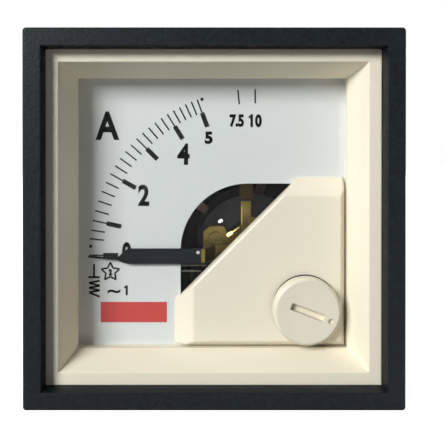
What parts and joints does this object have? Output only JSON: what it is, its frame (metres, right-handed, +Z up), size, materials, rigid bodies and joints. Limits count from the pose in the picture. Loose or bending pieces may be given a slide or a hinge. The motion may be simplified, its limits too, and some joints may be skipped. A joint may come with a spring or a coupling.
{
  "type": "analog panel meter",
  "caption": "Square moving-iron ammeter for panel mounting: pointer over a 90 degree dial, zero adjuster in front, two studs behind.",
  "frame": {"origin": "centre of the panel cut-out, in the plane of the panel's front surface, which is the bezel's back face", "axes": "+Y back through the panel along the case, +Z up the dial, +X to the right as seen from the front"},
  "size_m": [0.048, 0.0595, 0.048],
  "materials": {
    "bezel_black": "fine matt moulding",
    "surround_cream": "satin moulding",
    "window_clear": "clear polished",
    "case_black": "satin moulding",
    "dial_white": "matt white paint with black print",
    "mask_cream": "satin moulding",
    "knob_cream": "satin moulding",
    "pointer_black": "matt black lacquer",
    "brass": "stamped brass",
    "steel": "ground steel",
    "iron": "soft iron sheet",
    "spring_bronze": "bright bronze",
    "bobbin_black": "satin moulding",
    "winding_copper": "enamelled copper wire",
    "vane_aluminium": "thin sheet",
    "plated_nut": "nickel-plated brass"
  },
  "bodies": {
    "housing": {"front_bezel": "bezel_black", "inner_surround": "surround_cream", "front_window": "window_clear", "rear_case": "case_black", "dial_plate": "dial_white", "movement_mask": "mask_cream", "front_bridge": "brass", "front_jewel_screw": "brass", "rear_jewel_screw": "brass", "coil_bobbin": "bobbin_black", "coil_winding": "winding_copper", "fixed_iron": "iron", "damping_chamber": "bobbin_black", "coil_front_plate": "brass", "movement_frame": "bobbin_black", "terminal_stud_left": "brass", "terminal_stud_right": "brass", "terminal_nuts": "plated_nut", "terminal_washers": "plated_nut", "coil_lead_left": "winding_copper", "coil_lead_right": "winding_copper", "bridge_screws": "steel", "frame_screws": "steel", "plate_screws": "steel"},
    "moving_system": {"pointer": "pointer_black", "pointer_arm": "brass", "spindle": "steel", "balance_weights": "brass", "spring_collet": "brass", "moving_iron": "iron", "damping_vane": "vane_aluminium"},
    "zero_lever": {"zero_lever": "brass", "hairspring": "spring_bronze"},
    "zero_adjuster": {"zero_adjuster_knob": "knob_cream"}
  },
  "joints": [
    {"name": "pointer_swing", "type": "hinge", "parent": "housing", "child": "moving_system", "pos_m": [0.0061, 0, -0.00615], "axis": [0, 1, 0], "range_deg": [0, 90], "stiffness_Nm_per_rad": 0.000006},
    {"name": "zero_adjuster_turn", "type": "hinge", "parent": "housing", "child": "zero_adjuster", "pos_m": [0.0125, 0, -0.0128], "axis": [0, 1, 0], "range_deg": [-35, 35]},
    {"name": "zero_lever_swing", "type": "hinge", "parent": "housing", "child": "zero_lever", "pos_m": [0.0061, 0, -0.00615], "axis": [0, 1, 0], "range_deg": [-5.3, 5.3]}
  ],
  "couplings": [
    {"joint": "zero_lever_swing", "follows": "zero_adjuster_turn", "ratio": -0.14945}
  ]
}
